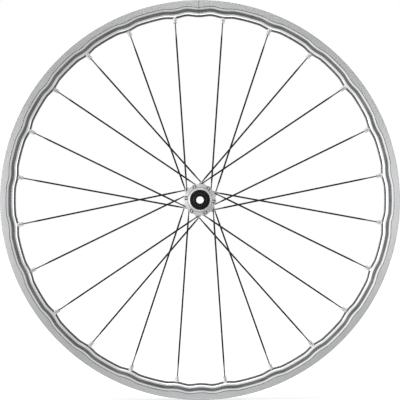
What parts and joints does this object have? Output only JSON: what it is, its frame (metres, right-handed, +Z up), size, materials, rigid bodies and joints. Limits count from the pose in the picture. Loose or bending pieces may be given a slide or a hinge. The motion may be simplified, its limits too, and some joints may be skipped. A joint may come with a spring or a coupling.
{
  "type": "bicycle front wheel",
  "caption": "Spoked front bicycle wheel for a disc brake: scalloped polished alloy rim without a tyre, bladed straight-pull spokes and a through-axle hub that turns on sealed ball bearings.",
  "frame": {"origin": "the wheel's centre, on the axle's centre line midway between the two dropout faces", "axes": "+Y along the axle, away from the brake rotor side; +Z up, with the valve hole at the bottom; +X to the right seen from the brake side"},
  "size_m": [0.6339, 0.1, 0.634],
  "materials": {
    "rim_alloy": "polished",
    "sleeve_alloy": "as extruded",
    "tape": "translucent film",
    "nipple_alloy": "satin",
    "hub_alloy": "polished",
    "axle_alloy": "satin anodised",
    "cap_black": "black anodised",
    "rubber": "matt",
    "spoke_steel": "dark satin",
    "bearing_steel": "ground",
    "cage_steel": "pressed"
  },
  "bodies": {
    "axle": {"axle_tube": "axle_alloy", "end_cap_left": "cap_black", "end_cap_right": "cap_black", "o_ring_left": "rubber", "o_ring_right": "rubber", "bearing_left_inner_race": "bearing_steel", "bearing_right_inner_race": "bearing_steel"},
    "wheel": {"rim": "rim_alloy", "rim_joint_sleeve": "sleeve_alloy", "rim_tape": "tape", "nipples_left": "nipple_alloy", "nipples_right": "nipple_alloy", "hub_shell": "hub_alloy", "spoke_01": "spoke_steel", "spoke_02": "spoke_steel", "spoke_03": "spoke_steel", "spoke_04": "spoke_steel", "spoke_05": "spoke_steel", "spoke_06": "spoke_steel", "spoke_07": "spoke_steel", "spoke_08": "spoke_steel", "spoke_09": "spoke_steel", "spoke_10": "spoke_steel", "spoke_11": "spoke_steel", "spoke_12": "spoke_steel", "spoke_13": "spoke_steel", "spoke_14": "spoke_steel", "spoke_15": "spoke_steel", "spoke_16": "spoke_steel", "spoke_17": "spoke_steel", "spoke_18": "spoke_steel", "spoke_19": "spoke_steel", "spoke_20": "spoke_steel", "spoke_21": "spoke_steel", "spoke_22": "spoke_steel", "spoke_23": "spoke_steel", "spoke_24": "spoke_steel", "bearing_left_outer_race": "bearing_steel", "bearing_left_outer_seal": "rubber", "bearing_left_inner_seal": "rubber", "bearing_right_outer_race": "bearing_steel", "bearing_right_outer_seal": "rubber", "bearing_right_inner_seal": "rubber"},
    "ball_cage_left": {"bearing_left_balls": "bearing_steel", "bearing_left_cage": "cage_steel"},
    "ball_cage_right": {"bearing_right_balls": "bearing_steel", "bearing_right_cage": "cage_steel"}
  },
  "joints": [
    {"name": "wheel_spin", "type": "hinge", "parent": "axle", "child": "wheel", "pos_m": [0, 0, 0], "axis": [0, 1, 0], "continuous": true},
    {"name": "cage_left_spin", "type": "hinge", "parent": "axle", "child": "ball_cage_left", "pos_m": [0, -0.037, 0], "axis": [0, 1, 0], "continuous": true},
    {"name": "cage_right_spin", "type": "hinge", "parent": "axle", "child": "ball_cage_right", "pos_m": [0, 0.037, 0], "axis": [0, 1, 0], "continuous": true}
  ],
  "couplings": [
    {"joint": "cage_left_spin", "follows": "wheel_spin", "ratio": 0.57447},
    {"joint": "cage_right_spin", "follows": "wheel_spin", "ratio": 0.57447}
  ]
}
